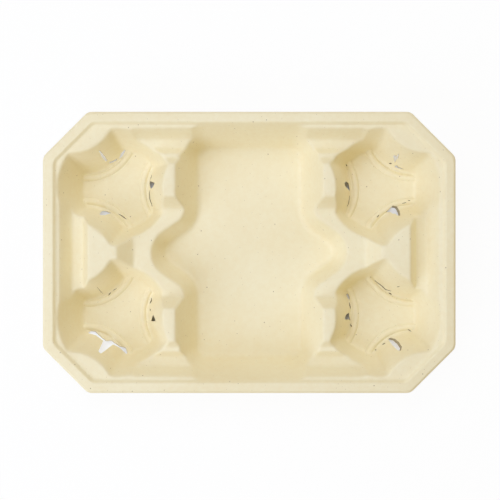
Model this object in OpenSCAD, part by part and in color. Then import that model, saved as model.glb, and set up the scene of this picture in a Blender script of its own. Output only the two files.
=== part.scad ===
// Cup carrier pressed from paper pulp in one piece: a long food tray between four cup wells, under one rim.
// Length along X, width along Y, height along Z. The floors rest on Z = 0 and the middle is at X = Y = 0.

/* [Rim] */
// Length of the rim over all
rim_length = 380; // [350:1:430]
// Width of the rim over all
rim_width = 259; // [250:1:300]
// Leg of the cut corner, along each side
rim_cut = 41.5; // [30:0.5:46]
// Rounding of the rim's eight corners
rim_corner_r = 9; // [5:0.5:14]
// Width of the rim's top face
rim_flat = 9.5; // [6:0.1:12]
// Fall of the rim's top face towards its edge
rim_fall = 0.8; // [0.2:0.1:1.2]
// Rounding of the rim's outer edge
rim_edge_r = 2.4; // [2:0.1:3.4]
// Height of the lip below that rounding
rim_lip = 0.8; // [0.2:0.1:3]
// Run of the small step inside the rim
step_run = 2.4; // [1.8:0.1:5]
// Width of the ledge under the step
ledge_width = 3.2; // [2:0.1:6]

/* [Levels] */
// Height of the rim above the table
rim_height = 50; // [44:0.5:62]
// Drop from the rim to the ledge and the tops of the towers
ledge_drop = 3.4; // [2.2:0.1:5]
// Height of the low deck between the pockets
deck_height = 29; // [24:0.5:33]
// Thickness of the pulp sheet
wall = 1.8; // [1.4:0.1:2.4]

/* [Cup wells] */
// Distance across the rim between the middles of two wells
well_spacing = 120.6; // [112:0.2:126]
// Radius of the round of a well at its floor
cup_r = 37.6; // [36:0.2:40]
// Radius of the circle that the three fingers of a well touch at the floor
foot_r = 26; // [23:0.2:29]
// Radius of a finger's bulge
finger_r = 41; // [38:0.5:48]
// Rounding of the crease between a finger and the round of the well
crease_r = 5; // [4:0.5:8]
// Lean of the well's wall from upright
well_draft = 20; // [17:0.5:22]
// Rounding where the floor turns up into the wall
well_fillet = 3.5; // [2:0.5:5]
// Ledge left between the round of a well and the step of the rim
well_margin = 1.5; // [0.2:0.1:3]

/* [Foot beads] */
// Width of the raised bead in front of a finger
bead_width = 6.4; // [4:0.2:8]
// Height of that bead above the floor
bead_height = 2; // [1:0.1:2.4]
// Flat left between the bead and the finger's foot
bead_gap = 2.6; // [1.5:0.1:4]

/* [Food tray] */
// Width of the tray's floor
tray_width = 99; // [90:0.5:104]
// Length of the tray's floor
tray_length = 198; // [180:0.5:204]
// Rounding of the tray floor's corners
tray_corner_r = 9; // [6:0.5:16]
// Lean of the tray's wall from upright
tray_draft = 22.5; // [18:0.5:24]
// Rounding where the tray's floor turns up
tray_fillet = 5; // [2:0.5:7]
// Distance of a bay's end from the middle of the tray
bay_reach = 80.5; // [76:0.5:84]
// Rounding of the bay's end at the floor
bay_r = 12.5; // [10:0.5:15]
// Turn of the bay's sides away from the tray's length
bay_turn = 34; // [30:1:40]
// Rounding of the shoulder between the bay and the straight wall, at the floor
shoulder_r = 25.5; // [20:0.5:28]

/* [Deck and towers] */
// Lean of the rim's wall above the deck
deck_draft = 25; // [15:1:28]
// Rounding where the deck turns up
deck_fillet = 3; // [1:0.5:5]
// Rounding of the deck's corners
deck_corner_r = 8; // [4:0.5:12]
// Distance that the deck over the tray stops short of the middle of the wells
deck_short = 12; // [6:0.5:16]
// Top of the bridge tower beyond the middle of the wells, towards the rim
bridge_out = 26.5; // [18:0.5:28]
// Top of the bridge tower short of the middle of the wells, towards the tray
bridge_in = 0.4; // [-4:0.2:6]
// Run of the bridge tower's slope towards the rim
bridge_out_run = 6.5; // [4:0.5:8]
// Run of the bridge tower's slope towards the tray
bridge_in_run = 13.5; // [8:0.5:16]
// Top of the tray tower from the middle of the well, towards the rim
tower_far = 21.8; // [16:0.2:26]
// Top of the tray tower from the middle of the well, towards the bay
tower_near = 8.6; // [5:0.2:12]
// Run of the tray tower's slope towards the bay
tower_near_run = 10.5; // [6:0.5:12]
// Run of the tray tower's slope towards the rim
tower_far_run = 11; // [6:0.5:12]
// Width of the step behind the tray tower
tower_step = 4.2; // [2:0.2:6]
// Drop from the tray tower's top to its step
tower_step_drop = 9; // [6:0.5:12]

/* [Slits] */
// Half the length of the slit along a finger's foot
slit_half = 19; // [10:0.5:22]
// Run of the slit that climbs the finger, seen from above
slit_climb = 9; // [4:0.5:12]
// Width at the closed ends of a slit
slit_tip = 0.4; // [0.3:0.1:0.8]
// Distance of a slit behind the front of the finger's foot
slit_back = 0.3; // [0:0.1:1]
// Opening of the slits in the well at the left, far side: corner finger, tray finger, bridge finger
open_left_far = [1.6, 1.6, 2]; // [0.6:0.1:5]
// Opening of the slits in the well at the right, far side
open_right_far = [2, 2.2, 3.6]; // [0.6:0.1:5]
// Opening of the slits in the well at the left, near side
open_left_near = [4.6, 2.2, 1]; // [0.6:0.1:5]
// Opening of the slits in the well at the right, near side
open_right_near = [4, 1.8, 1.2]; // [0.6:0.1:5]

/* [Hidden] */
ledge_height = rim_height - ledge_drop;
pulp = [0.92, 0.86, 0.7];
reach = 2;
half_length = rim_length / 2;
half_width = rim_width / 2;
ledge_inset = rim_flat + step_run + ledge_width;
step_draft = atan(step_run / ledge_drop);

// Fineness of the round forms: degrees to a facet of an outline, and facets of the smaller rounds
arc_step = 18;
least_r = 0.001;
fillet_steps = 2;
edge_steps = 2;
crease_steps = 2;
finger_steps = 6;
round_steps = 3;
bead_steps = 5;
bead_side_steps = 2;
slit_sides = 6;

// The edge of the rim turns down into a lip, which is as thick as the sheet
edge_z = rim_height - rim_fall - rim_edge_r;
sharpest_edge_r = 0.2;

// Directions of a well's fingers: towards the corner of the rim, the tray and the bridge
finger_angles = [60, 180, 300];

// The round of a well stands against the step of the rim
cup_top_r = cup_r + (ledge_height - wall) * tan(well_draft);
well_x = half_length - rim_flat - step_run - well_margin - cup_top_r;
well_y = well_spacing / 2;

// The bay's sides run straight from its round end to its shoulders
bay_c = bay_reach - bay_r;
bay_half = 90 - bay_turn;
shoulder_x = tray_width / 2 + shoulder_r;
shoulder_y = ((bay_c - shoulder_x) * cos(bay_half) + bay_r + shoulder_r) / sin(bay_half);

// The deck ends at the wall under the ledge
deck_rise = ledge_height - deck_height;
deck_x = half_length - ledge_inset - deck_rise * tan(deck_draft);
deck_y = half_width - ledge_inset - deck_rise * tan(deck_draft);

// Sections of the towers: distance along the slopes and height, from a foot that goes below the deck
tower_foot = deck_height - 3 * reach;

// Foot of a slope that starts at a height, and runs out by run over the full height of a tower
function fallen(head, height, run) = [head + run * (height - tower_foot) / deck_rise, tower_foot];

bridge_section = [
    fallen(well_x - bridge_in, ledge_height, -bridge_in_run),
    [well_x - bridge_in, ledge_height],
    [well_x + bridge_out, ledge_height],
    fallen(well_x + bridge_out, ledge_height, bridge_out_run)];
far_head = well_y + tower_far;
step_head = far_head + tower_step_drop * tower_far_run / deck_rise + tower_step;
step_height = ledge_height - tower_step_drop;
tower_section = [
    fallen(well_y - tower_near, ledge_height, -tower_near_run),
    [well_y - tower_near, ledge_height],
    [far_head, ledge_height],
    [step_head - tower_step, step_height],
    [step_head, step_height],
    fallen(step_head, step_height, tower_far_run)];

// A bead is the top of a round bar laid along the foot of a finger, as far as the wall
finger_c = foot_r + finger_r;
bead_bar_r = (bead_width * bead_width / 4 + bead_height * bead_height) / (2 * bead_height);
bead_path_r = finger_r + bead_gap + bead_width / 2;
bead_cos = (pow(finger_c, 2) + pow(bead_path_r, 2) - pow(cup_r, 2)) / (2 * finger_c * bead_path_r);
bead_half_angle = acos(bead_cos);
bead_steepest = 80;

// An arc is its middle, radius, first and last angle, +1 where it grows and -1 where it shrinks as the
// outline grows, and 1 where a straight line follows it. An arc that has shrunk past its middle is the corner
// where the lines beside it meet.
function arc_points(a, grow) =
    let (n = max(2, ceil(abs(a[4] - a[3]) / arc_step)), r = a[2] + a[5] * grow, half = (a[4] - a[3]) / 2)
    [for (i = [0 : n - 1 + a[6]])
        let (t = r > least_r ? 2 * half * i / n : half, away = r > least_r ? r : r / cos(half))
        [a[0] + away * cos(a[3] + t), a[1] + away * sin(a[3] + t)]];

function grown(outline, grow) = [for (a = outline) each arc_points(a, grow)];

// Points of an arc in a fixed number of steps, without its last point
function run(c, r, from, to, steps) =
    [for (i = [0 : steps - 1]) let (t = from + (to - from) * i / steps)
        [c[0] + r * cos(t), c[1] + r * sin(t)]];

// Outline of a well: its round wall, and three fingers that bulge into it. The wall moves out by lean, and
// the face under it lies further out by depth.
function well_points(lean, depth) =
    let (r = cup_r + lean, f = foot_r + lean + finger_r, k = crease_r,
        turn = acos((pow(r - k, 2) + f * f - pow(finger_r + k, 2)) / (2 * f * (r - k))),
        side = atan2((r - k) * sin(turn), f - (r - k) * cos(turn)))
    [for (t = finger_angles)
        let (before = [(r - k) * cos(t - turn), (r - k) * sin(t - turn)],
            after = [(r - k) * cos(t + turn), (r - k) * sin(t + turn)],
            finger = [f * cos(t), f * sin(t)])
        each concat(
            run(before, k + depth, t - turn, t + side, crease_steps),
            run(finger, finger_r - depth, t + 180 + side, t + 180 - side, finger_steps),
            run(after, k + depth, t - side, t + turn, crease_steps),
            run([0, 0], r + depth, t + turn, t + 120 - turn, round_steps))];

function box_outline(hx, hy, r) = [
    [hx - r, hy - r, r, 0, 90, 1, 1],
    [r - hx, hy - r, r, 90, 180, 1, 1],
    [r - hx, r - hy, r, 180, 270, 1, 1],
    [hx - r, r - hy, r, 270, 360, 1, 1]];

tray_x = tray_width / 2 - tray_corner_r;
tray_y = tray_length / 2 - tray_corner_r;
tray_outline = [
    [tray_x, -tray_y, tray_corner_r, -90, 0, 1, 1],
    [shoulder_x, -shoulder_y, shoulder_r, 180, 180 - bay_half, -1, 1],
    [bay_c, 0, bay_r, -bay_half, bay_half, 1, 1],
    [shoulder_x, shoulder_y, shoulder_r, 180 + bay_half, 180, -1, 1],
    [tray_x, tray_y, tray_corner_r, 0, 90, 1, 1],
    [-tray_x, tray_y, tray_corner_r, 90, 180, 1, 1],
    [-shoulder_x, shoulder_y, shoulder_r, 0, -bay_half, -1, 1],
    [-bay_c, 0, bay_r, 180 - bay_half, 180 + bay_half, 1, 1],
    [-shoulder_x, -shoulder_y, shoulder_r, bay_half, 0, -1, 1],
    [-tray_x, -tray_y, tray_corner_r, 180, 270, 1, 1]];

// Eight-sided outline of the rim, moved inwards by inset
function rim_points(inset) =
    let (a = half_length - inset, b = half_width - inset, q = rim_cut - inset * (2 - sqrt(2)),
        r = rim_corner_r, s = r * tan(22.5))
    grown([
        [a - r, b - q - s, r, 0, 45, 1, 1],
        [a - q - s, b - r, r, 45, 90, 1, 1],
        [q + s - a, b - r, r, 90, 135, 1, 1],
        [r - a, b - q - s, r, 135, 180, 1, 1],
        [r - a, q + s - b, r, 180, 225, 1, 1],
        [q + s - a, r - b, r, 225, 270, 1, 1],
        [a - q - s, r - b, r, 270, 315, 1, 1],
        [a - r, q + s - b, r, 315, 360, 1, 1]], 0);

// A pocket's wall as a list of heights, leans and depths: the floor's rounding, then straight up to the top,
// with a line where each round of the list vanishing has shrunk to a point. The face of the sheet that lies
// depth below the upper one follows it at that distance.
function pocket_wall(floor_z, draft, fillet, depth, vanishing) =
    let (c = -fillet * (1 - sin(draft)) / cos(draft), top = rim_height + reach, level = depth / cos(draft),
        points = [for (r = vanishing) let (z = floor_z + (r - level) / tan(draft)) if (z < top) z])
    concat(
        [for (i = [0 : fillet_steps]) let (t = -90 + (90 - draft) * i / fillet_steps)
            [floor_z + fillet + (fillet + depth) * sin(t), c + fillet * cos(t), depth * cos(t)]],
        [for (z = concat(points, top)) [z, (z - floor_z) * tan(draft), level]]);

function at_height(points, z) = [for (p = points) [p[0], p[1], z]];

// Solid through a list of closed lines of points, each with the same number of points
module skin(rings) {
    n = len(rings[0]);
    m = len(rings);
    first = [for (i = [0 : n - 1]) i];
    last = [for (i = [0 : n - 1]) m * n - 1 - i];
    sides = [for (j = [0 : m - 2]) for (i = [0 : n - 1]) let (a = j * n + i, b = j * n + (i + 1) % n) each [
        [a, a + n, b + n],
        [a, b + n, b]]];
    polyhedron([for (g = rings) each g], concat([first, last], sides));
}

module pocket(outline, floor_z, draft, fillet, depth, vanishing = []) {
    skin([for (s = pocket_wall(floor_z, draft, fillet, depth, vanishing))
        at_height(grown(outline, s[1] + s[2]), s[0])]);
}

// Bar with the section of a tower, or of the hollow under it
module tower_bar(section, length, depth) {
    linear_extrude(length, center = true)
        offset(delta = -depth)
            polygon(section);
}

module four_ways() {
    for (mx = [0, 1])
        for (my = [0, 1])
            mirror([mx, 0, 0]) mirror([0, my, 0]) children();
}

// Lines of the rim's rounded edge, from the side to the top, depth below its upper face
function edge_rings(depth) =
    let (r = max(rim_edge_r - depth, sharpest_edge_r), z = rim_height - rim_fall - depth - r)
    [for (i = [0 : edge_steps]) let (t = 90 * i / edge_steps)
        at_height(rim_points(depth + r * (1 - cos(t))), z + r * sin(t))];

// Rim with its rounded edge, filled in below. With a depth it ends at the lip.
module rim_block(depth) {
    lip_z = edge_z - rim_lip;
    foot = depth == 0
        ? [at_height(rim_points(0), 0)]
        : [at_height(rim_points(-reach), -reach), at_height(rim_points(-reach), lip_z),
            at_height(rim_points(depth), lip_z)];
    skin(concat(foot, edge_rings(depth), [at_height(rim_points(rim_flat), rim_height - depth)]));
}

// Space inside the rim, above the ledge
module step_space(depth) {
    low = ledge_height - depth;
    high = rim_height + reach;
    inset = rim_flat + step_run - depth / cos(step_draft);
    skin([
        at_height(rim_points(inset + depth * tan(step_draft)), low),
        at_height(rim_points(inset - (high - ledge_height) * tan(step_draft)), high)]);
}

// Towers that stand on the deck: one between the two wells of a side, one between each well and the tray
module towers(depth) {
    for (mx = [0, 1])
        mirror([mx, 0, 0])
            rotate([90, 0, 0])
                tower_bar(bridge_section, 2 * well_y, depth);
    for (my = [0, 1])
        mirror([0, my, 0])
            rotate([90, 0, 90])
                tower_bar(tower_section, 2 * well_x, depth);
}

// Space above the deck: a long one over the tray and the ridges, one across to the rim at each side
module deck_space(depth) {
    difference() {
        union() {
            pocket(box_outline(well_x - deck_short, deck_y, deck_corner_r),
                deck_height, deck_draft, deck_fillet, depth);
            pocket(box_outline(deck_x, well_y, deck_corner_r),
                deck_height, deck_draft, deck_fillet, depth);
        }
        towers(depth);
    }
}

// Section of a bead: the top of a bar, with a foot that goes below the floor
function bead_section(depth) =
    let (r = bead_bar_r - depth, top = wall + bead_height - depth, n = bead_side_steps,
        t = min(bead_steepest, acos(max(1 - bead_height / r, -1))))
    concat(
        [for (i = [-n : n]) [bead_path_r + r * sin(t * i / n), top - r + r * cos(t * i / n)]],
        [[bead_path_r + r * sin(t), -reach], [bead_path_r - r * sin(t), -reach]]);

// Raised beads on the floor of a well, one in front of each finger
module beads(depth) {
    for (t = finger_angles)
        rotate([0, 0, t + 180])
            translate([-finger_c, 0, 0])
                skin([for (i = [0 : bead_steps])
                    let (a = bead_half_angle * (2 * i / bead_steps - 1))
                    [for (q = bead_section(depth)) [q[0] * cos(a), q[0] * sin(a), q[1]]]]);
}

module well_space(depth) {
    translate([well_x, well_y, 0])
        difference() {
            skin([for (s = pocket_wall(wall, well_draft, well_fillet, depth, []))
                at_height(well_points(s[1], s[2]), s[0])]);
            beads(depth);
        }
}

// Filled-in form of the carrier. With a depth it is the form of the hollow under the sheet.
module form(depth) {
    difference() {
        rim_block(depth);
        step_space(depth);
        deck_space(depth);
        four_ways() well_space(depth);
        pocket(tray_outline, wall, tray_draft, tray_fillet, depth, [shoulder_r]);
    }
}

module post(x, y, d) {
    translate([x, y, -reach])
        cylinder(d = d, h = ledge_height + reach, $fn = slit_sides);
}

// Three-armed slit in a finger: along its foot to both sides, and up the finger
module slit(open) {
    front = foot_r + slit_back;
    side = finger_c - sqrt(finger_r * finger_r - slit_half * slit_half) + slit_back;
    for (y = [-slit_half, slit_half])
        hull() {
            post(front, 0, open);
            post(side, y, slit_tip);
        }
    hull() {
        post(front, 0, open);
        post(foot_r + slit_climb, 0, slit_tip);
    }
}

// Slits of one well, one in each finger
module slits(open) {
    translate([well_x, well_y, 0])
        for (i = [0 : len(finger_angles) - 1])
            rotate([0, 0, finger_angles[i]]) slit(open[i]);
}

module carrier() {
    color(pulp)
        difference() {
            form(0);
            form(wall);
            slits(open_right_far);
            mirror([1, 0, 0]) slits(open_left_far);
            mirror([0, 1, 0]) slits(open_right_near);
            mirror([1, 0, 0]) mirror([0, 1, 0]) slits(open_left_near);
        }
}

carrier();
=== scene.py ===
import math

import bpy
import numpy as np
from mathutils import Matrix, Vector
from mathutils.geometry import delaunay_2d_cdt


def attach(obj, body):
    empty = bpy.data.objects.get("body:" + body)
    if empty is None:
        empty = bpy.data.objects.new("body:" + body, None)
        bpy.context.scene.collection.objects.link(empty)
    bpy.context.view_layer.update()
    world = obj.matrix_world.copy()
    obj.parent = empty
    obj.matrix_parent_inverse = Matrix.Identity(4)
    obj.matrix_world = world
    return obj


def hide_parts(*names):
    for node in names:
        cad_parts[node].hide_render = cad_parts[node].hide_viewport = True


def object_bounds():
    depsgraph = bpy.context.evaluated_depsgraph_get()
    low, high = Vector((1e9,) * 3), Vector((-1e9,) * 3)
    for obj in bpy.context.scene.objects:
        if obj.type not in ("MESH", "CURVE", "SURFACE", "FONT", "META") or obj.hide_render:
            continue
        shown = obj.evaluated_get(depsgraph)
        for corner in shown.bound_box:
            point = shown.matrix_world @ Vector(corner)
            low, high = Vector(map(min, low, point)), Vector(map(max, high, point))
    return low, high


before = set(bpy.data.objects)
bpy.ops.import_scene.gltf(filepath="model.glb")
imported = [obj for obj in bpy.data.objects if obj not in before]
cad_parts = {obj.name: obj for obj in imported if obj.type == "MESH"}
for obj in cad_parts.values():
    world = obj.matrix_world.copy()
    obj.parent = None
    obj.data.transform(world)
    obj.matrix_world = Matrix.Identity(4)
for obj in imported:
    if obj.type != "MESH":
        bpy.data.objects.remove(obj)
cad_low, cad_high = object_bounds()

# Sizes in millimetres and degrees, the same as in the part's source
MM = 0.001
HALF_LENGTH = cad_high.x / MM
HALF_WIDTH = cad_high.y / MM
RIM_HEIGHT = cad_high.z / MM
RIM_CUT = 41.5
RIM_CORNER_R = 9.0
RIM_FLAT = 9.5
RIM_FALL = 0.8
RIM_EDGE_R = 2.4
RIM_LIP = 0.8
STEP_RUN = 2.4
LEDGE_DROP = 3.4
LEDGE_WIDTH = 3.2
DECK_HEIGHT = 29.0
WALL = 1.8
CUP_R = 37.6
FOOT_R = 26.0
FINGER_R = 41.0
FINGER_ANGLES = (60, 180, 300)
WELL_DRAFT = 20.0
WELL_FILLET = 3.5
WELL_MARGIN = 1.5
WELL_SPACING = 120.6
BEAD_WIDTH = 6.4
BEAD_HEIGHT = 2.0
BEAD_GAP = 2.6
TRAY_WIDTH = 99.0
TRAY_LENGTH = 198.0
TRAY_CORNER_R = 9.0
TRAY_DRAFT = 22.5
TRAY_FILLET = 5.0
BAY_REACH = 80.5
BAY_R = 12.5
BAY_TURN = 34.0
SHOULDER_R = 25.5
DECK_DRAFT = 25.0
DECK_FILLET = 3.0
DECK_CORNER_R = 8.0
DECK_SHORT = 12.0
BRIDGE_OUT = 26.5
BRIDGE_IN = 0.4
BRIDGE_OUT_RUN = 6.5
BRIDGE_IN_RUN = 13.5
TOWER_FAR = 21.8
TOWER_NEAR = 8.6
TOWER_NEAR_RUN = 10.5
TOWER_FAR_RUN = 11.0
TOWER_STEP = 4.2
TOWER_STEP_DROP = 9.0

EDGE_HEIGHT = RIM_HEIGHT - RIM_FALL - RIM_EDGE_R
LEDGE_HEIGHT = RIM_HEIGHT - LEDGE_DROP
LEDGE_INSET = RIM_FLAT + STEP_RUN + LEDGE_WIDTH
DECK_RISE = LEDGE_HEIGHT - DECK_HEIGHT
CUP_TOP_R = CUP_R + (LEDGE_HEIGHT - WALL) * math.tan(math.radians(WELL_DRAFT))
WELL_X = HALF_LENGTH - RIM_FLAT - STEP_RUN - WELL_MARGIN - CUP_TOP_R
WELL_Y = WELL_SPACING / 2
# The rim's outline has eight sides, and turns by this at each corner
RIM_TURN = 45.0

# The photo is taken from straight above: millimetres to a pixel at the rim, the camera's height over the rim,
# and the point of the carrier that is below it
PIXEL = 0.918
CAMERA_ABOVE_RIM = 1000.0
CAMERA_X = 0.7
CAMERA_Y = 2.2
IMAGE_SIZE = 500
SENSOR = 36.0

# Softness of the moulded edges: of the pockets, of the creases beside the fingers, of the step inside the
# rim, of the beads and of the rim's lip
POCKET_SOFTNESS = 1.2
CREASE_SOFTNESS = 3.0
STEP_SOFTNESS = 0.5
BEAD_SOFTNESS = 0.3
LIP_SOFTNESS = 0.4
# Fine groove on both sides of a bead, and the height of the well's wall over which it runs out
GROOVE_DEPTH = 0.45
GROOVE_WIDTH = 0.7
GROOVE_END = 1.0
# How flat the rim's edge is rolled: 0 is a round roll, 1 a straight slope
ROLL_FLATNESS = 0.7

# The grid for the heights: its spacing and half its size
GRID = 0.5
GRID_HALF_X = 192.0
GRID_HALF_Y = 136.0
# A blur reaches this many times its width
BLUR_REACH = 3
# The two faces of the sheet. For each: the steps of the grid that its points are chosen from, each half the
# one before, and how far the mesh may miss the face
UP = 1
DOWN = -1
FACE_STEPS = {UP: (16, 8, 4, 2, 1), DOWN: (32, 16, 8, 4)}
FACE_TOLERANCE = {UP: 0.075, DOWN: 0.15}
# The rim's outline: distance of its points on the straights, points on a corner, steps of its roll, and
# points on the roll's inner side
RIM_STEP = 1.6
CORNER_POINTS = 6
ROLL_STEPS = 4
INNER_ROLL_POINTS = 3
# Outlines are rounded to this many decimals
DECIMALS = 2
# Other points of a face keep this far from the rim's loop and from the tears
RIM_CLEARANCE = 0.6
TEAR_CLEARANCE = 0.35
# Points nearer than this are one point, and no length is divided by less than this
SAME_POINT = 1e-7
TINY = 1e-9
# Output kind of Blender's triangulation: all triangles
ALL_TRIANGLES = 0


def smooth_max(a, b, width):
    """The larger of two fields, blended where they differ by less than width."""
    near = np.maximum(width - np.abs(a - b), 0) / width
    return np.maximum(a, b) + near * near * width / 4


def wall_height(lean, draft, fillet):
    """Height of a leaning wall above its floor, at a distance lean outside the floor, with a rounded foot."""
    slope = math.radians(90 - draft)
    start = fillet * math.tan(slope / 2)
    round_part = fillet - np.sqrt(np.maximum(fillet**2 - np.clip(lean + start, 0, fillet) ** 2, 0))
    return np.where(lean > start * math.cos(slope), lean * math.tan(slope), round_part)


def rounded_corner(a, b, radius):
    """Distance outside two sides of the rim with a round corner, from the distances a and b outside each."""
    turn = math.cos(math.radians(RIM_TURN))
    middle = (a + b) / 2
    apart = (a - b) / 2
    under_root = np.maximum(radius**2 * (1 - turn**2) / 2 - apart**2 * (1 + turn), 0)
    arc = middle + radius - np.sqrt(under_root / (1 - turn))
    return np.where(np.abs(apart) < radius * (1 - turn) / 2, arc, np.maximum(a, b))


def rim_inset(x, y):
    """Distance inside the rim's eight-sided outline."""
    side = x - HALF_LENGTH
    end = y - HALF_WIDTH
    cut = (x + y - HALF_LENGTH - HALF_WIDTH + RIM_CUT) / math.sqrt(2)
    return -np.maximum(rounded_corner(side, cut, RIM_CORNER_R), rounded_corner(cut, end, RIM_CORNER_R))


def rim_surface(x, y):
    """Rim, its small step and the ledge inside it."""
    inset = rim_inset(x, y)
    top = RIM_HEIGHT - RIM_FALL * np.maximum(RIM_FLAT - inset, 0) / (RIM_FLAT - RIM_EDGE_R)
    step = LEDGE_HEIGHT + np.maximum(RIM_FLAT + STEP_RUN - inset, 0) * LEDGE_DROP / STEP_RUN
    return np.minimum(top, step)


def box_distance(x, y, half_x, half_y, radius):
    """Distance outside a rectangle with round corners."""
    qx = x - half_x + radius
    qy = y - half_y + radius
    outside = np.hypot(np.maximum(qx, 0), np.maximum(qy, 0))
    return outside + np.minimum(np.maximum(qx, qy), 0) - radius


def block_height(at, near_head, near_run, far_head, far_run):
    """Height of a block on the deck: its two sides slope up to the ledge's height at their heads."""
    near = DECK_HEIGHT + DECK_RISE * (at - near_head + near_run) / near_run
    far = DECK_HEIGHT + DECK_RISE * (far_head + far_run - at) / far_run
    return np.minimum(np.minimum(near, far), LEDGE_HEIGHT)


def deck_surface(x, y):
    """Low deck with the bridges and towers that stand on it, between the pockets."""
    deck_inset = LEDGE_INSET + DECK_RISE * math.tan(math.radians(DECK_DRAFT))
    lengthwise = box_distance(x, y, WELL_X - DECK_SHORT, HALF_WIDTH - deck_inset, DECK_CORNER_R)
    crosswise = box_distance(x, y, HALF_LENGTH - deck_inset, WELL_Y, DECK_CORNER_R)
    deck = DECK_HEIGHT + wall_height(np.minimum(lengthwise, crosswise), DECK_DRAFT, DECK_FILLET)

    bridge = block_height(x, WELL_X - BRIDGE_IN, BRIDGE_IN_RUN, WELL_X + BRIDGE_OUT, BRIDGE_OUT_RUN)
    bridge = np.where(y < WELL_Y, bridge, 0)

    tower_far = WELL_Y + TOWER_FAR
    tower = block_height(y, WELL_Y - TOWER_NEAR, TOWER_NEAR_RUN, tower_far, TOWER_FAR_RUN)
    run_per_drop = TOWER_FAR_RUN / DECK_RISE
    step_end = tower_far + run_per_drop * TOWER_STEP_DROP + TOWER_STEP
    step = LEDGE_HEIGHT - TOWER_STEP_DROP - np.maximum(y - step_end, 0) / run_per_drop
    tower = np.maximum(tower, np.where(y > WELL_Y, step, 0))
    tower = np.where(x < WELL_X, tower, 0)
    return np.maximum(deck, np.maximum(bridge, tower))


def finger_frame(x, y, angle):
    """Coordinates along and across the direction of a finger, from the middle of its well."""
    cosine = math.cos(math.radians(angle))
    sine = math.sin(math.radians(angle))
    return x * cosine + y * sine, y * cosine - x * sine


def well_surface(x, y):
    """Cup well: a round leaning wall, and three fingers that bulge into it."""
    x = x - WELL_X
    y = y - WELL_Y
    lean = np.hypot(x, y) - CUP_R
    for angle in FINGER_ANGLES:
        along, across = finger_frame(x, y, angle)
        bulge = np.sqrt(np.maximum(FINGER_R**2 - across**2, 0))
        lean = smooth_max(lean, along - FOOT_R - FINGER_R + bulge, CREASE_SOFTNESS)
    return WALL + wall_height(lean, WELL_DRAFT, WELL_FILLET)


def off_beads(x, y):
    """Distance from the middle of each bead in a well."""
    path_r = FINGER_R + BEAD_GAP + BEAD_WIDTH / 2
    for angle in FINGER_ANGLES:
        along, across = finger_frame(x - WELL_X, y - WELL_Y, angle)
        yield np.abs(np.hypot(along - FOOT_R - FINGER_R, across) - path_r)


def bead_rise(x, y):
    """Height of the beads above the well: the top of a round bar in front of each finger."""
    bar_r = (BEAD_WIDTH**2 / 4 + BEAD_HEIGHT**2) / (2 * BEAD_HEIGHT)
    top = np.zeros(x.shape)
    for off in off_beads(x, y):
        bar = WALL + BEAD_HEIGHT - bar_r + np.sqrt(np.maximum(bar_r**2 - off**2, 0))
        top = np.maximum(top, bar)
    return np.maximum(top - well_surface(x, y), 0)


def bead_groove(x, y):
    """Depth of the grooves beside the beads, which run out where the well's wall begins."""
    depth = np.zeros(x.shape)
    for off in off_beads(x, y):
        beside = (off - BEAD_WIDTH / 2) / GROOVE_WIDTH
        depth = np.maximum(depth, GROOVE_DEPTH * np.exp(-(beside**2)))
    wall = (well_surface(x, y) - WALL) / GROOVE_END
    return depth * np.clip(1 - wall, 0, 1)


def tray_surface(x, y):
    """Food tray: a long box with a bay at each side, whose straight sides end in round shoulders."""
    bay_half = math.radians(90 - BAY_TURN)
    bay_x = BAY_REACH - BAY_R
    shoulder_x = TRAY_WIDTH / 2 + SHOULDER_R
    shoulder_y = ((bay_x - shoulder_x) * math.cos(bay_half) + BAY_R + SHOULDER_R) / math.sin(bay_half)
    box = box_distance(x, y, TRAY_WIDTH / 2, TRAY_LENGTH / 2, TRAY_CORNER_R)
    around_bay = np.arctan2(y, x - bay_x)
    bay_end = np.hypot(x - bay_x, y) - BAY_R
    bay_side = (x - bay_x) * math.cos(bay_half) + y * math.sin(bay_half) - BAY_R
    bay = np.where((around_bay < bay_half) & (x > bay_x), bay_end, bay_side)
    around_shoulder = np.arctan2(shoulder_y - y, shoulder_x - x)
    shoulder = SHOULDER_R - np.hypot(x - shoulder_x, y - shoulder_y)
    on_shoulder = (around_shoulder > 0) & (around_shoulder < bay_half)
    lean = np.where(on_shoulder, shoulder, np.minimum(box, bay))
    return WALL + wall_height(lean, TRAY_DRAFT, TRAY_FILLET)


def blurred(field, width):
    """The field under a bell-shaped blur of that width in millimetres."""
    reach = math.ceil(BLUR_REACH * width / GRID)
    bell = np.exp(-0.5 * (np.arange(-reach, reach + 1) * GRID / width) ** 2)
    bell /= bell.sum()
    for axis in (0, 1):
        pad = [(reach, reach) if axis == a else (0, 0) for a in (0, 1)]
        wide = np.pad(field, pad, mode="edge")
        count = field.shape[axis]
        field = sum(w * np.take(wide, range(i, i + count), axis) for i, w in enumerate(bell))
    return field


def lower_face(field, thickness):
    """The lower face of a sheet of that thickness, under a face given by its heights."""
    reach = int(thickness / GRID)
    wide = np.pad(field, reach, mode="edge")
    rows, columns = field.shape
    lowest = np.full(field.shape, np.inf)
    for i in range(-reach, reach + 1):
        for j in range(-reach, reach + 1):
            rest = thickness**2 - (i * i + j * j) * GRID**2
            if rest >= 0:
                moved = wide[reach + i : reach + i + rows, reach + j : reach + j + columns]
                lowest = np.minimum(lowest, moved - math.sqrt(rest))
    return lowest


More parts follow.
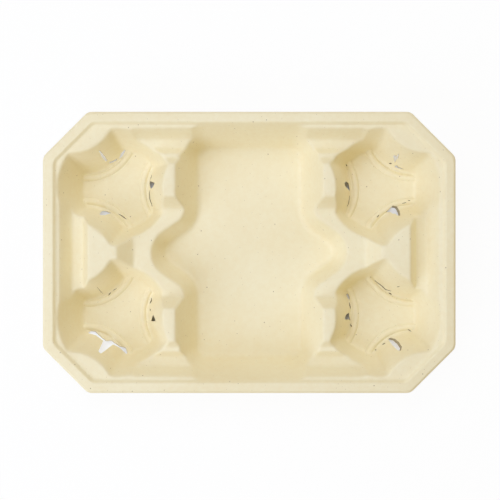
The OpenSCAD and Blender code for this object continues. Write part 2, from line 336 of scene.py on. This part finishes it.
class Surface:
    """A face of the sheet: heights on a grid, read anywhere in between."""

    def __init__(self, heights):
        self.heights = heights
        self.slope_y, self.slope_x = np.gradient(heights, GRID)

    def read(self, field, points):
        """Values of a field on the grid at any points."""
        column = (points[:, 0] + GRID_HALF_X) / GRID
        row = (points[:, 1] + GRID_HALF_Y) / GRID
        c = np.clip(column.astype(int), 0, field.shape[1] - 2)
        r = np.clip(row.astype(int), 0, field.shape[0] - 2)
        u = column - c
        v = row - r
        low = field[r, c] * (1 - u) + field[r, c + 1] * u
        high = field[r + 1, c] * (1 - u) + field[r + 1, c + 1] * u
        return low * (1 - v) + high * v

    def height(self, points):
        """Height of the face at any points."""
        return self.read(self.heights, points)

    def normals(self, points):
        """Directions in which the face looks up at any points."""
        slope_x = self.read(self.slope_x, points)
        slope_y = self.read(self.slope_y, points)
        normals = np.stack([-slope_x, -slope_y, np.ones(len(points))], 1)
        return normals / np.linalg.norm(normals, axis=1, keepdims=True)

    def misfit(self, step):
        """How far the face departs from a grid of that step, in each of its cells."""
        heights = self.heights
        level = 1 / np.sqrt(1 + self.slope_x**2 + self.slope_y**2)
        low_left = heights[:-1:step, :-1:step]
        low_right = heights[:-1:step, step::step]
        high_left = heights[step::step, :-1:step]
        high_right = heights[step::step, step::step]
        rows, columns = low_left.shape
        largest = np.zeros(low_left.shape)
        for i in range(step + 1):
            for j in range(step + 1):
                v = i / step
                u = j / step
                low = low_left * (1 - u) + low_right * u
                high = high_left * (1 - u) + high_right * u
                flat = low * (1 - v) + high * v
                row_slice = slice(i, i + (rows - 1) * step + 1, step)
                column_slice = slice(j, j + (columns - 1) * step + 1, step)
                off = np.abs(heights[row_slice, column_slice] - flat) * level[row_slice, column_slice]
                largest = np.maximum(largest, off)
        return largest

    def chosen_points(self, steps, tolerance):
        """Points of a grid that is coarse where the face is flat and fine where it bends."""
        cells = [(size - 1) // steps[0] for size in self.heights.shape]
        active = np.ones(cells, bool)
        kept = np.zeros(self.heights.shape, bool)
        for step in steps:
            if step < steps[0]:
                active = np.repeat(np.repeat(active, 2, 0), 2, 1)
            r, c = np.nonzero(active)
            for i, j in ((0, 0), (0, step), (step, 0), (step, step)):
                kept[r * step + i, c * step + j] = True
            active = active & (self.misfit(step) > tolerance)
        r, c = np.nonzero(kept)
        return np.stack([c * GRID - GRID_HALF_X, r * GRID - GRID_HALF_Y], 1)


def sheet_surfaces():
    """Upper and lower face of the pulp sheet, whose four quarters are alike."""
    x = np.arange(-GRID_HALF_X, GRID_HALF_X + GRID / 2, GRID)
    y = np.arange(-GRID_HALF_Y, GRID_HALF_Y + GRID / 2, GRID)
    x, y = np.meshgrid(np.abs(x), np.abs(y))
    heights = np.full(x.shape, LEDGE_HEIGHT)
    for pocket in (deck_surface, well_surface, tray_surface):
        heights = np.minimum(heights, pocket(x, y))
    upper = blurred(heights, POCKET_SOFTNESS)
    upper += blurred(rim_surface(x, y) - LEDGE_HEIGHT, STEP_SOFTNESS)
    upper += blurred(bead_rise(x, y), BEAD_SOFTNESS)
    lower = lower_face(upper, WALL)
    return Surface(upper - bead_groove(x, y)), Surface(lower)


def rounded(points):
    """Points of an outline as both faces of the sheet have them."""
    return np.round(points, DECIMALS)


def rim_arcs(inset):
    """Points on the eight round corners of the rim's outline, moved inwards."""
    cut = RIM_CUT - inset * (2 - math.sqrt(2))
    from_end = cut + RIM_CORNER_R * math.tan(math.radians(RIM_TURN / 2))
    side_x = HALF_LENGTH - inset - RIM_CORNER_R
    side_y = HALF_WIDTH - inset - from_end
    end_x = HALF_LENGTH - inset - from_end
    end_y = HALF_WIDTH - inset - RIM_CORNER_R
    right = [(side_x, side_y), (end_x, end_y)]
    far = right + [(-x, y) for x, y in reversed(right)]
    middles = far + [(-x, -y) for x, y in far]
    arcs = []
    for corner, (x, y) in enumerate(middles):
        angles = np.radians(np.linspace(corner * RIM_TURN, (corner + 1) * RIM_TURN, CORNER_POINTS))
        arcs.append(np.stack([x + RIM_CORNER_R * np.cos(angles), y + RIM_CORNER_R * np.sin(angles)], 1))
    return arcs


def rim_loop(inset):
    """Points of the rim's outline, moved inwards: the same number of them at every inset."""
    arcs = rim_arcs(inset)
    outer_arcs = rim_arcs(0)
    points = []
    for corner, arc in enumerate(arcs):
        following = (corner + 1) % len(arcs)
        straight = np.linalg.norm(outer_arcs[following][0] - outer_arcs[corner][-1])
        count = max(1, round(straight / RIM_STEP))
        share = np.arange(1, count)[:, None] / count
        points.append(arc)
        points.append(arc[-1] * (1 - share) + arcs[following][0] * share)
    return rounded(np.concatenate(points))


def lip_section():
    """Inset and height along the edge of the rim, from its roll over the lip to the face underneath."""
    foot = EDGE_HEIGHT - RIM_LIP
    soft = LIP_SOFTNESS
    inner_r = RIM_EDGE_R - WALL
    section = []
    for step in range(1, ROLL_STEPS + 1):
        share = 1 - step / ROLL_STEPS
        turn = math.radians(90 * share)
        inwards = ROLL_FLATNESS * share + (1 - ROLL_FLATNESS) * (1 - math.cos(turn))
        upwards = ROLL_FLATNESS * share + (1 - ROLL_FLATNESS) * math.sin(turn)
        section.append((RIM_EDGE_R * inwards, EDGE_HEIGHT + RIM_EDGE_R * upwards))
    section += [(0, foot + soft), (soft, foot), (WALL - soft, foot), (WALL, foot + soft)]
    for turn in np.radians(np.linspace(0, 90, INNER_ROLL_POINTS)):
        section.append((RIM_EDGE_R - inner_r * math.cos(turn), EDGE_HEIGHT + inner_r * math.sin(turn)))
    return section


def around(outline, points, margin=0):
    """Indices of the points in the box around an outline, widened by a margin."""
    low = outline.min(0) - margin
    high = outline.max(0) + margin
    return np.nonzero(((points >= low) & (points <= high)).all(1))[0]


def inside(outline, points):
    """Which points lie inside a closed outline."""
    x, y = points.T
    result = np.zeros(len(points), bool)
    for (ax, ay), (bx, by) in zip(outline, np.roll(outline, -1, 0)):
        if ay != by:
            crosses = (ay > y) != (by > y)
            result ^= crosses & (x < ax + (bx - ax) * (y - ay) / (by - ay))
    return result


def distance_to(outline, points):
    """Distance of points from a closed outline."""
    nearest = np.full(len(points), np.inf)
    for a, b in zip(outline, np.roll(outline, -1, 0)):
        side = b - a
        share = np.clip(((points - a) @ side) / max(side @ side, TINY), 0, 1)
        nearest = np.minimum(nearest, np.linalg.norm(points - a - share[:, None] * side, axis=1))
    return nearest


def clear_of(holes, points):
    """The points that lie outside the holes, and not on their edges."""
    for hole in holes:
        near = around(hole, points, TEAR_CLEARANCE)
        gone = inside(hole, points[near]) | (distance_to(hole, points[near]) < TEAR_CLEARANCE)
        points = np.delete(points, near[gone], 0)
    return points


def triangulated(outer, holes, free):
    """Points and triangles between an outer loop and holes, which keep the outlines as edges."""
    edges = []
    first = 0
    for outline in (outer, *holes):
        count = len(outline)
        edges += [(first + i, first + (i + 1) % count) for i in range(count)]
        first += count
    given = [Vector(point) for point in np.concatenate([outer, *holes, free]).tolist()]
    made = delaunay_2d_cdt(given, edges, [], ALL_TRIANGLES, SAME_POINT)
    points = np.array([tuple(point) for point in made[0]])
    faces = np.array(made[2])
    middles = points[faces].mean(1)
    keep = inside(outer, middles)
    for hole in holes:
        near = around(hole, middles)
        keep[near[inside(hole, middles[near])]] = False
    return points, faces[keep]


def place_keys(points, side):
    """What the points of an outline are found by: their rounded places, and their face of the sheet."""
    return [(x, y, side) for x, y in np.rint(points * 10**DECIMALS).astype(int).tolist()]


class SheetMesh:
    """A mesh of the sheet as it grows: the triangles of both faces, and bands of quads that join them."""

    def __init__(self):
        self.points = []
        self.count = 0
        self.triangles = []
        self.normals = []
        self.quads = []
        self.found = {}

    def row(self, outline, side):
        """Indices of an outline's points on one face."""
        return [self.found[key] for key in place_keys(outline, side)]

    def add_points(self, points, heights):
        """Add points, and give their indices."""
        first = self.count
        self.points.append(np.column_stack([points, heights]))
        self.count += len(points)
        return range(first, self.count)

    def add_face(self, surface, side, inset, holes):
        """One face of the sheet, from that inset of the rim inwards."""
        free = surface.chosen_points(FACE_STEPS[side], FACE_TOLERANCE[side])
        free = free[rim_inset(*np.abs(free).T) > inset + RIM_CLEARANCE]
        points, triangles = triangulated(rim_loop(inset), holes, clear_of(holes, free))
        triangles = triangles[:, ::side]
        indices = self.add_points(points, surface.height(points))
        self.triangles.append(triangles + indices[0])
        self.normals.append(side * surface.normals(points)[triangles].reshape(-1, 3))
        for key, index in zip(place_keys(points, side), indices):
            self.found.setdefault(key, index)

    def add_band(self, a, b):
        """Quads between two closed rows of points."""
        for i in range(len(a)):
            j = (i + 1) % len(a)
            self.quads.append((a[i], a[j], b[j], b[i]))


def sheet_mesh(upper, lower, tears):
    """Both faces of the sheet, the sides of the tears and the lip of the rim, as one closed mesh."""
    mesh = SheetMesh()
    upper_inset = RIM_EDGE_R
    lower_inset = RIM_EDGE_R + RIM_LIP
    mesh.add_face(upper, UP, upper_inset, [above for above, below in tears])
    mesh.add_face(lower, DOWN, lower_inset, [below for above, below in tears])
    for above, below in tears:
        mesh.add_band(mesh.row(above, UP), mesh.row(below, DOWN))
    ring = mesh.row(rim_loop(upper_inset), UP)
    for inset, height in lip_section():
        loop = rim_loop(inset)
        following = mesh.add_points(loop, np.full(len(loop), height))
        mesh.add_band(following, ring)
        ring = following
    mesh.add_band(mesh.row(rim_loop(lower_inset), DOWN), ring)
    return mesh


# The place and the height of a point in the photo depend on each other, and are found in this many rounds
SIGHT_ROUNDS = 12


def on_sheet(surface, pixels):
    """Where points of the photo lie on a face of the sheet, seen from above."""
    offset = (np.array(pixels) - IMAGE_SIZE / 2) * PIXEL * (1, -1)
    height = np.full(len(pixels), RIM_HEIGHT)
    for _ in range(SIGHT_ROUNDS):
        farther = 1 + (RIM_HEIGHT - height) / CAMERA_ABOVE_RIM
        points = offset * farther[:, None] + (CAMERA_X, CAMERA_Y)
        height = (height + surface.height(points)) / 2
    return points


# Torn holes as the photo shows them: outlines in its pixels
HOLES = {
    "left_far_corner_stem": [
        (98.6, 150.0), (100.4, 150.6), (104.6, 155.4), (107.6, 160.0), (105.8, 161.6), (102.0, 157.4),
    ],
    "left_far_corner_blade": [(124.9, 149.4), (125.6, 150.6), (122.6, 156.2), (119.2, 158.6), (121.0, 153.2)],
    "left_far_corner_foot": [
        (109.4, 161.8), (112.8, 160.8), (116.4, 158.6), (117.0, 160.0), (113.2, 162.4), (109.6, 163.4),
    ],
    "left_far_bridge": [
        (99.8, 213.4), (102.0, 210.9), (105.6, 211.0), (111.2, 213.0), (105.4, 215.0), (100.4, 215.2),
    ],
    "left_far_tray": [(150.2, 181.0), (154.8, 182.6), (153.0, 187.0), (151.0, 188.8), (149.6, 184.4)],
    "left_near_corner": [
        (88.1, 332.9), (91.3, 330.7), (95.7, 331.2), (99.3, 335.0), (103.8, 338.4), (106.4, 340.6),
        (111.6, 340.2), (114.0, 342.0), (120.4, 346.4), (122.8, 346.6), (126.1, 347.7), (127.5, 352.6),
        (126.5, 353.9), (121.6, 349.4), (118.6, 347.0), (113.0, 344.4), (106.4, 349.6), (100.7, 353.6),
        (98.4, 351.3), (103.2, 341.0), (100.2, 338.3), (95.7, 335.2), (90.4, 333.8),
    ],
    "left_near_tray": [(153.4, 314.6), (156.0, 320.9), (153.4, 321.4), (151.0, 320.9), (152.0, 318.0)],
    "right_far_tray": [
        (344.4, 183.0), (346.2, 181.3), (348.4, 183.0), (349.3, 187.5), (349.8, 191.4), (347.6, 188.6),
        (345.4, 186.6),
    ],
    "right_far_corner": [
        (393.0, 156.7), (394.8, 154.5), (397.0, 155.8), (399.3, 153.1), (398.4, 158.0), (396.6, 159.4),
        (395.0, 163.0), (394.2, 159.4),
    ],
    "right_far_corner_foot": [
        (394.4, 166.0), (397.0, 165.0), (399.0, 167.2), (403.9, 169.2), (399.0, 168.6), (396.0, 167.4),
    ],
    "right_far_bridge": [
        (385.9, 211.6), (388.1, 210.5), (392.6, 205.4), (397.0, 206.7), (399.7, 211.2), (400.3, 215.8),
        (397.7, 215.6), (395.2, 213.6), (392.6, 213.6), (389.8, 211.6), (387.6, 212.2),
    ],
    "right_near_tray_top": [
        (346.2, 294.3), (348.0, 293.6), (349.4, 296.3), (349.8, 299.6), (348.4, 298.9), (347.2, 296.7),
    ],
    "right_near_tray": [
        (344.8, 317.7), (346.6, 314.1), (349.0, 312.6), (349.3, 316.8), (350.8, 320.6), (348.4, 319.2),
        (345.7, 319.9),
    ],
    "right_near_corner": [
        (388.1, 339.1), (390.4, 337.8), (394.8, 338.7), (399.3, 342.7), (402.0, 346.7), (400.6, 350.7),
        (397.9, 350.3), (393.0, 345.8), (389.5, 341.3),
    ],
}

# Fine cracks beside them: route in the photo's pixels, and width in millimetres
CRACKS = {
    "left_far_tray_upper": ([(151.6, 174.6), (151.2, 177.0), (150.4, 179.6)], 0.6),
    "left_far_tray_lower": ([(150.0, 190.0), (149.4, 193.0), (149.8, 199.0), (152.4, 206.6)], 0.8),
    "left_far_bridge_slit": ([(118.4, 213.8), (122.4, 216.2), (126.6, 219.4)], 0.8),
    "left_near_tray_upper": ([(151.4, 297.8), (151.4, 300.4), (149.8, 303.8)], 1.1),
    "left_near_tray_dot": ([(150.2, 308.8), (150.4, 311.0)], 0.8),
    "left_near_bridge_dark": ([(108.2, 295.6), (110.8, 292.4)], 0.9),
    "left_near_bridge_right": ([(112.8, 290.6), (116.8, 288.2)], 0.5),
    "left_near_bridge_left": ([(97.2, 287.2), (100.2, 291.0), (103.0, 293.8)], 0.4),
    "right_far_tray_lower": ([(349.7, 195.4), (348.6, 203.4), (347.0, 206.8)], 0.6),
    "right_far_tray_dot": ([(346.0, 164.4), (347.2, 166.2)], 0.8),
    "right_far_corner_left": ([(389.0, 163.4), (391.8, 163.4)], 0.9),
    "right_far_bridge_left": ([(376.9, 217.5), (379.2, 214.8)], 0.9),
    "right_far_bridge_right": ([(402.0, 203.7), (406.4, 202.2)], 0.6),
    "right_far_bridge_tip": ([(408.0, 200.4), (410.4, 200.7)], 0.7),
    "right_near_tray_middle": ([(349.3, 302.4), (349.8, 305.4), (350.7, 308.8)], 0.9),
    "right_near_tray_lower": ([(350.2, 324.2), (352.0, 327.0)], 1.0),
    "right_near_bridge": ([(374.4, 280.2), (381.4, 285.6), (385.8, 289.6), (391.2, 291.2)], 0.7),
    "right_near_bridge_dark": ([(388.6, 292.8), (391.8, 294.5)], 1.0),
    "right_near_bridge_tip": ([(396.6, 287.0), (399.8, 286.4)], 0.6),
    "right_near_corner_left": ([(382.2, 344.6), (385.4, 343.0)], 0.7),
    "right_near_corner_dot": ([(374.6, 349.9), (376.6, 349.8)], 0.9),
    "right_near_corner_right": ([(407.8, 329.2), (411.4, 331.6)], 0.8),
}

# A torn edge: its unevenness and the distance between its points, in pixels, and the seed of its unevenness
RAGGED = 0.18
RAGGED_STEP = 1.0
RAGGED_SEED = 11
# A crack: the distance between its points and half the width of its tips, in millimetres, the fewest points
# along it, and the share of its length beside each tip that doesn't narrow further
CRACK_STEP = 0.9
CRACK_TIP = 0.08
CRACK_POINTS = 4
CRACK_END = 0.12
# Holes whose torn edge is frayed, leans further and has more painted shade on its side
FRAYED_HOLES = ("right_far_bridge", "right_near_corner")
# How far tears lean through the sheet, in millimetres: a crack so far that no floor shows in it
CRACK_LEAN = 1.5
HOLE_LEAN = (-0.35, -0.35)
FRAYED_LEAN = (-1.9, -1.5)
# How much painted shade, in the dark colour given with the pulp's colours, the sides of a tear have
CRACK_PAINTED_SHADE = 1.0
HOLE_PAINTED_SHADE = 0.35
FRAYED_PAINTED_SHADE = 0.65
TEAR_PAINTED_SHADE_ATTRIBUTE = "painted_tear_shade"


def ragged(outline, rng):
    """An outline with its sides broken up a little, as torn pulp is."""
    points = []
    for a, b in zip(outline, np.roll(outline, -1, 0)):
        length = np.linalg.norm(b - a)
        count = max(1, round(length / RAGGED_STEP))
        across = np.array([a[1] - b[1], b[0] - a[0]]) / max(length, TINY)
        for i in range(count):
            away = 0 if i == 0 else rng.uniform(-RAGGED, RAGGED)
            points.append(a + (b - a) * i / count + across * away)
    return np.array(points)


def ribbon(route, width):
    """Outline of a crack: its route with a width that runs out at both ends."""
    lengths = np.linalg.norm(np.diff(route, axis=0), axis=1)
    passed = np.concatenate([[0], np.cumsum(lengths)])
    whole = passed[-1]
    at = np.linspace(0, whole, max(CRACK_POINTS, int(whole / CRACK_STEP) + 2))
    line = np.stack([np.interp(at, passed, route[:, 0]), np.interp(at, passed, route[:, 1])], 1)
    along = np.gradient(line, axis=0)
    along /= np.linalg.norm(along, axis=1, keepdims=True)
    across = np.stack([-along[:, 1], along[:, 0]], 1)
    half = width / 2 * np.sqrt(np.sin(np.pi * np.clip(at / whole, CRACK_END, 1 - CRACK_END)))
    half[[0, -1]] = CRACK_TIP
    aside = across * half[:, None]
    return np.concatenate([line + aside, (line - aside)[::-1]])


def turned_left(above, below):
    """Both outlines of a tear, rounded, in the order that has the inside of the upper one at its left."""
    following = np.roll(above, -1, 0)
    twice_area = (above[:, 0] * following[:, 1] - above[:, 1] * following[:, 0]).sum()
    order = 1 if twice_area > 0 else -1
    return rounded(above[::order]), rounded(below[::order])


def tear_outlines(upper, lower):
    """Outlines of each tear on the upper and the lower face of the sheet."""
    rng = np.random.default_rng(RAGGED_SEED)
    tears = {}
    for name, outline in HOLES.items():
        torn = ragged(np.array(outline), rng)
        lean = FRAYED_LEAN if name in FRAYED_HOLES else HOLE_LEAN
        tears[name] = turned_left(on_sheet(upper, torn), on_sheet(lower, torn) + lean)
    for name, (route, width) in CRACKS.items():
        line = on_sheet(upper, route)
        crack = ribbon(line, width)
        across = np.array([line[0, 1] - line[-1, 1], line[-1, 0] - line[0, 0]])
        lean = across * CRACK_LEAN / np.linalg.norm(across)
        tears[name] = turned_left(crack, crack + lean)
    return tears


def painted_shade_of_tear(name):
    """How much painted shade the sides of a tear have."""
    if name in CRACKS:
        return CRACK_PAINTED_SHADE
    return FRAYED_PAINTED_SHADE if name in FRAYED_HOLES else HOLE_PAINTED_SHADE


def new_object(name, vertices, faces):
    """An object in the scene with a mesh of its own."""
    mesh = bpy.data.meshes.new(name)
    mesh.from_pydata(vertices, [], faces)
    piece = bpy.data.objects.new(name, mesh)
    bpy.context.scene.collection.objects.link(piece)
    return piece


def make_carrier():
    """The pulp sheet, smooth on both faces, with flat sides in its tears that have painted shade."""
    upper, lower = sheet_surfaces()
    tears = tear_outlines(upper, lower)
    sheet = sheet_mesh(upper, lower, tears.values())
    vertices = np.concatenate(sheet.points)
    triangles = np.concatenate(sheet.triangles)
    piece = new_object("carrier_sheet", (vertices * MM).tolist(), triangles.tolist() + sheet.quads)
    mesh = piece.data
    mesh.polygons.foreach_set("use_smooth", [True] * len(mesh.polygons))

    torn = sum(len(above) for above, below in tears.values())
    corners = vertices[np.array(sheet.quads[:torn])]
    flat = np.cross(corners[:, 1] - corners[:, 0], corners[:, 3] - corners[:, 0])
    flat /= np.maximum(np.linalg.norm(flat, axis=1, keepdims=True), TINY)
    set_normals = np.concatenate([*sheet.normals, np.repeat(flat, 4, 0)])
    # A zero leaves a corner with the mesh's own normal
    normals = np.zeros((len(mesh.loops), 3))
    normals[: len(set_normals)] = set_normals
    mesh.normals_split_custom_set(normals.tolist())

    # Painted shade on the sides of each tear, by its kind
    painted_shade = np.zeros(len(mesh.polygons))
    first = len(triangles)
    for name, (above, below) in tears.items():
        painted_shade[first : first + len(above)] = painted_shade_of_tear(name)
        first += len(above)
    mesh.attributes.new(TEAR_PAINTED_SHADE_ATTRIBUTE, "FLOAT", "FACE").data.foreach_set("value", painted_shade)
    mesh.materials.append(pulp_material())
    mesh.validate()
    return piece


WHITE = (1.0, 1.0, 1.0)


def grey(value):
    """A colour with the same value in red, green and blue."""
    return (value, value, value)


class Nodes:
    """Short forms for building the nodes of a material or the world."""

    def __init__(self, owner):
        owner.use_nodes = True
        self.tree = owner.node_tree
        self.tree.nodes.clear()

    def put(self, socket, value):
        """Link a socket to another one, or set it to a number, a vector or a colour."""
        if isinstance(value, bpy.types.NodeSocket):
            self.tree.links.new(value, socket)
        elif socket.type == "RGBA":
            socket.default_value = (*value, 1)
        else:
            socket.default_value = value

    def add(self, kind, inputs=None, **settings):
        """A new node with its settings, and its inputs by name."""
        node = self.tree.nodes.new(kind)
        for name, value in settings.items():
            setattr(node, name, value)
        for name, value in (inputs or {}).items():
            self.put(node.inputs[name], value)
        return node

    def noise(self, place, scale, detail, roughness):
        """A cloudy pattern between 0 and 1, the same in every run."""
        inputs = {"Vector": place, "Scale": scale, "Detail": detail, "Roughness": roughness}
        return self.add("ShaderNodeTexNoise", inputs).outputs["Fac"]

    def math(self, operation, *values):
        """The result of one operation on numbers or other results."""
        node = self.add("ShaderNodeMath", operation=operation)
        for socket, value in zip(node.inputs, values):
            self.put(socket, value)
        return node.outputs[0]

    def ramp(self, fac, stops):
        """A colour for each number, from stops of a number and its colour."""
        node = self.add("ShaderNodeValToRGB", {"Fac": fac})
        elements = node.color_ramp.elements
        for position, color in stops[len(elements) :]:
            elements.new(position)
        for element, (position, color) in zip(elements, stops):
            element.position = position
            element.color = (*color, 1)
        return node.outputs["Color"]

    def mix(self, fac, a, b):
        """The colour a, with b in its place as far as fac says."""
        inputs = {"Factor": fac, "A": a, "B": b}
        return self.add("ShaderNodeMix", inputs, data_type="RGBA").outputs["Result"]

    def seen_directly(self):
        """1 for what the camera sees, also in a mirror or through glass, and 0 for light on a surface."""
        path = self.add("ShaderNodeLightPath")
        seen = self.math("MAXIMUM", path.outputs["Is Camera Ray"], path.outputs["Is Glossy Ray"])
        return self.math("MAXIMUM", seen, path.outputs["Is Transmission Ray"])


# Colours of the pulp's light and deep spots, of fibre ends, and of the painted shade on the sides of tears
PULP_LIGHT = (0.955, 0.875, 0.615)
PULP_DEEP = (0.925, 0.82, 0.54)
FLECK_COLOR = (0.34, 0.23, 0.11)
TEAR_PAINTED_SHADE_COLOR = (0.22, 0.16, 0.08)
PULP_SPECULAR = 0.25
# Noise patterns of the pulp: scale to the metre, detail and roughness
CLOUDS = (14, 3, 0.5)
MOTTLE = (220, 4, 0.6)
GRAIN = (1400, 3, 0.6)
# Share of the clouds in the tone, the mottle being the rest, and the tones that are deep and light
CLOUD_SHARE = 0.5
DEEP_TONE = 0.35
LIGHT_TONE = 0.65
# Values of the mottle, and the shader's roughness there
ROUGHNESS = ((0.3, 0.82), (0.7, 0.94))
# Bump: its strength, its depth in millimetres, and the mottle's part in it beside the grain's
BUMP_STRENGTH = 0.25
BUMP_DEPTH = 0.4
BUMP_MOTTLE = 0.6
# Fibre ends: cells to the metre, size as a share of a cell, share of the cells without one, depth of colour
FLECKS = ((130, 0.075, 0.64, 0.6), (260, 0.09, 0.62, 0.4))
# Turn of those cells, in radians, so that none lie along a wall
FLECK_TURN = (0.3, 0.2, 0.6)


def with_flecks(n, color, place):
    """The colour with dark fibre ends: spots in the middle of some cells."""
    turned = n.add("ShaderNodeMapping", {"Vector": place, "Rotation": FLECK_TURN}).outputs["Vector"]
    for scale, size, rarity, depth in FLECKS:
        cells = n.add("ShaderNodeTexVoronoi", {"Vector": turned, "Scale": scale})
        chance = n.add("ShaderNodeSeparateColor", {"Color": cells.outputs["Color"]}).outputs["Red"]
        spot = n.math("LESS_THAN", cells.outputs["Distance"], size)
        chosen = n.math("GREATER_THAN", chance, rarity)
        amount = n.math("MULTIPLY", n.math("MULTIPLY", spot, chosen), depth)
        color = n.mix(amount, color, FLECK_COLOR)
    return color


def pulp_material():
    """Moulded paper pulp: cream, mottled, with dark fibre ends, a fine felted grain, and painted shade on the
    sides of tears.
    """
    material = bpy.data.materials.new("pulp")
    n = Nodes(material)
    place = n.add("ShaderNodeTexCoord").outputs["Object"]
    clouds = n.noise(place, *CLOUDS)
    mottle = n.noise(place, *MOTTLE)
    grain = n.noise(place, *GRAIN)

    cloud_part = n.math("MULTIPLY", clouds, CLOUD_SHARE)
    mottle_part = n.math("MULTIPLY", mottle, 1 - CLOUD_SHARE)
    tone = n.math("ADD", cloud_part, mottle_part)
    color = n.ramp(tone, [(DEEP_TONE, PULP_DEEP), (LIGHT_TONE, PULP_LIGHT)])
    color = with_flecks(n, color, place)
    # Painted shade: the sides of tears are darkened as far as the mesh's attribute says
    torn = n.add("ShaderNodeAttribute", attribute_name=TEAR_PAINTED_SHADE_ATTRIBUTE)
    color = n.mix(torn.outputs["Fac"], color, TEAR_PAINTED_SHADE_COLOR)

    height = n.math("ADD", grain, n.math("MULTIPLY", mottle, BUMP_MOTTLE))
    bump_inputs = {"Strength": BUMP_STRENGTH, "Distance": BUMP_DEPTH * MM, "Height": height}
    shader_inputs = {
        "Base Color": color,
        "Roughness": n.ramp(mottle, [(at, grey(value)) for at, value in ROUGHNESS]),
        "Specular IOR Level": PULP_SPECULAR,
        "Normal": n.add("ShaderNodeBump", bump_inputs).outputs["Normal"],
    }
    shader = n.add("ShaderNodeBsdfPrincipled", shader_inputs)
    n.add("ShaderNodeOutputMaterial", {"Surface": shader.outputs["BSDF"]})
    return material


# Half the floor's length, in metres
FLOOR_HALF = 3.0
FLOOR_COLOR = grey(0.98)
# The floor's own light, which the camera sees: distances inside the rim's outline in millimetres, and the
# share of white there. Outside the rim it is the white ground; under the carrier it is painted light that
# fades to none beneath the middle, which reads as painted shade
FLOOR_PAINTED_LIGHT = ((12, 0.94), (20, 0.34), (50, 0.30), (64, 0.0))


def floor_inset(n):
    """Distance of a point of the floor inside the rim's outline, in metres."""
    place = n.add("ShaderNodeTexCoord").outputs["Object"]
    axes = n.add("ShaderNodeSeparateXYZ", {"Vector": place})
    x = n.math("ABSOLUTE", axes.outputs["X"])
    y = n.math("ABSOLUTE", axes.outputs["Y"])
    from_side = n.math("SUBTRACT", cad_high.x, x)
    from_end = n.math("SUBTRACT", cad_high.y, y)
    from_cut = n.math("SUBTRACT", cad_high.x + cad_high.y - RIM_CUT * MM, n.math("ADD", x, y))
    from_cut = n.math("DIVIDE", from_cut, math.sqrt(2))
    return n.math("MINIMUM", n.math("MINIMUM", from_side, from_end), from_cut)


def floor_material():
    """White ground around the carrier, which keeps a soft shadow; under the carrier, painted light that fades
    to none beneath its middle.
    """
    material = bpy.data.materials.new("floor")
    n = Nodes(material)
    reach = FLOOR_PAINTED_LIGHT[-1][0]
    place = n.math("DIVIDE", floor_inset(n), reach * MM)
    # Painted light and shade under the carrier: the share of white falls with the distance inside the rim
    light = n.ramp(place, [(at / reach, grey(share)) for at, share in FLOOR_PAINTED_LIGHT])
    plain = n.add("ShaderNodeBsdfDiffuse", {"Color": FLOOR_COLOR})
    white = n.add("ShaderNodeEmission", {"Color": WHITE, "Strength": 1})
    both = n.add("ShaderNodeMixShader", {"Fac": n.math("MULTIPLY", n.seen_directly(), light)})
    n.put(both.inputs[1], plain.outputs["BSDF"])
    n.put(both.inputs[2], white.outputs["Emission"])
    n.add("ShaderNodeOutputMaterial", {"Surface": both.outputs["Shader"]})
    return material


def make_floor():
    """The ground that the carrier stands on."""
    s = FLOOR_HALF
    floor = new_object("floor", [(-s, -s, 0), (s, -s, 0), (s, s, 0), (-s, s, 0)], [(0, 1, 2, 3)])
    floor.data.materials.append(floor_material())


# Light from all round: its level and its colour
WORLD_LIGHT = 0.44
WORLD_COLOR = (1.0, 0.81, 0.42)
# Soft boxes round the object: azimuth and elevation in degrees, and how bright a white face that is turned to
# it renders in its light alone
SOFT_BOXES = {
    "low_left": (225, 37, 0.34),
    "high_left": (122, 64, 0.31),
    "fill_right": (45, 36, 0.095),
}
# Their colour, and their size and distance in metres
SOFT_BOX_COLOR = (0.90, 1.08, 1.53)
SOFT_BOX_SIZE = 0.9
SOFT_BOX_DISTANCE = 1.5


def make_world():
    """Even warm light from all round, in place of which the camera sees white."""
    world = bpy.data.worlds.new("studio")
    bpy.context.scene.world = world
    n = Nodes(world)
    light = tuple(WORLD_LIGHT * part for part in WORLD_COLOR)
    color = n.mix(n.seen_directly(), light, WHITE)
    background = n.add("ShaderNodeBackground", {"Color": color, "Strength": 1})
    n.add("ShaderNodeOutputWorld", {"Surface": background.outputs["Background"]})


def make_soft_boxes():
    """Large lamps that the camera doesn't see."""
    for name, (azimuth, elevation, brightness) in SOFT_BOXES.items():
        a = math.radians(azimuth)
        e = math.radians(elevation)
        lamp = bpy.data.lights.new(name, "AREA")
        lamp.size = SOFT_BOX_SIZE
        lamp.energy = brightness * (math.pi * SOFT_BOX_DISTANCE) ** 2
        lamp.color = SOFT_BOX_COLOR
        holder = bpy.data.objects.new(name, lamp)
        towards = Vector((math.cos(a) * math.cos(e), math.sin(a) * math.cos(e), math.sin(e)))
        holder.location = towards * SOFT_BOX_DISTANCE
        holder.rotation_euler = (-towards).to_track_quat("-Z", "Y").to_euler()
        holder.visible_camera = False
        bpy.context.scene.collection.objects.link(holder)


def make_camera():
    """The photo's camera, which looks straight down."""
    data = bpy.data.cameras.new("camera")
    data.sensor_width = SENSOR
    data.lens = SENSOR * CAMERA_ABOVE_RIM / (IMAGE_SIZE * PIXEL)
    camera = bpy.data.objects.new("camera", data)
    camera.location = (CAMERA_X * MM, CAMERA_Y * MM, (RIM_HEIGHT + CAMERA_ABOVE_RIM) * MM)
    bpy.context.scene.collection.objects.link(camera)
    bpy.context.scene.camera = camera


carrier = make_carrier()
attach(carrier, "root")
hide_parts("carrier")
make_floor()
make_world()
make_soft_boxes()
make_camera()
bpy.context.scene.view_settings.view_transform = "Standard"
